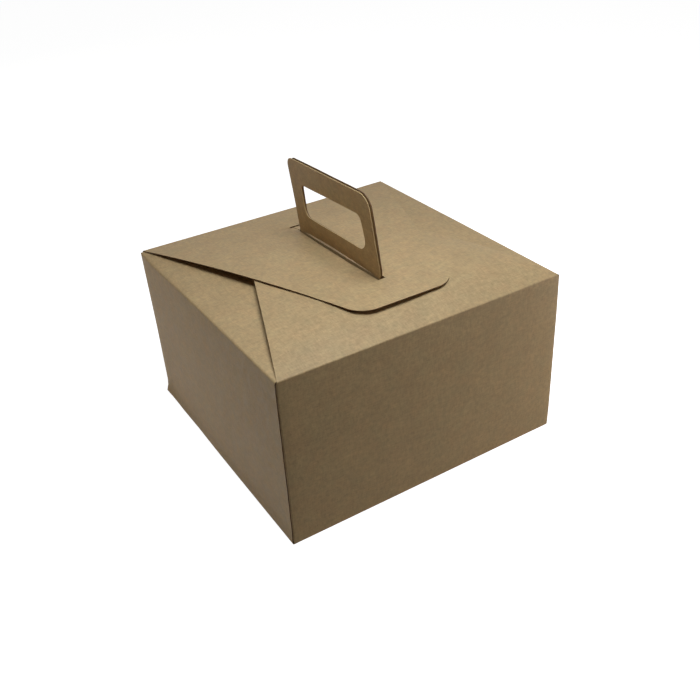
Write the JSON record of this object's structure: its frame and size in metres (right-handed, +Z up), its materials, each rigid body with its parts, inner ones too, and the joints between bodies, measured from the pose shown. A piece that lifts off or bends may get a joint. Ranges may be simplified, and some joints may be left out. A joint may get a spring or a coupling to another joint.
{
  "type": "handled bakery box",
  "caption": "Square carton of folded kraft board with a slotted rear lid flap that closes over an upright double handle with a hand hole.",
  "frame": {"origin": "centre of the footprint, on the table", "axes": "+Z up, +X to the right along the front wall, +Y from the front wall to the rear wall, where the lid is creased"},
  "size_m": [0.25, 0.247, 0.2214],
  "materials": {
    "kraft_board": "uncoated brown kraft board, matt"
  },
  "bodies": {
    "carton": {"carton": "kraft_board"},
    "lid_flap": {"lid_flap": "kraft_board"}
  },
  "joints": [
    {"name": "lid_hinge", "type": "hinge", "parent": "carton", "child": "lid_flap", "pos_m": [0, 0.1235, 0.145], "axis": [-1, 0, 0], "range_deg": [0, 210]}
  ]
}
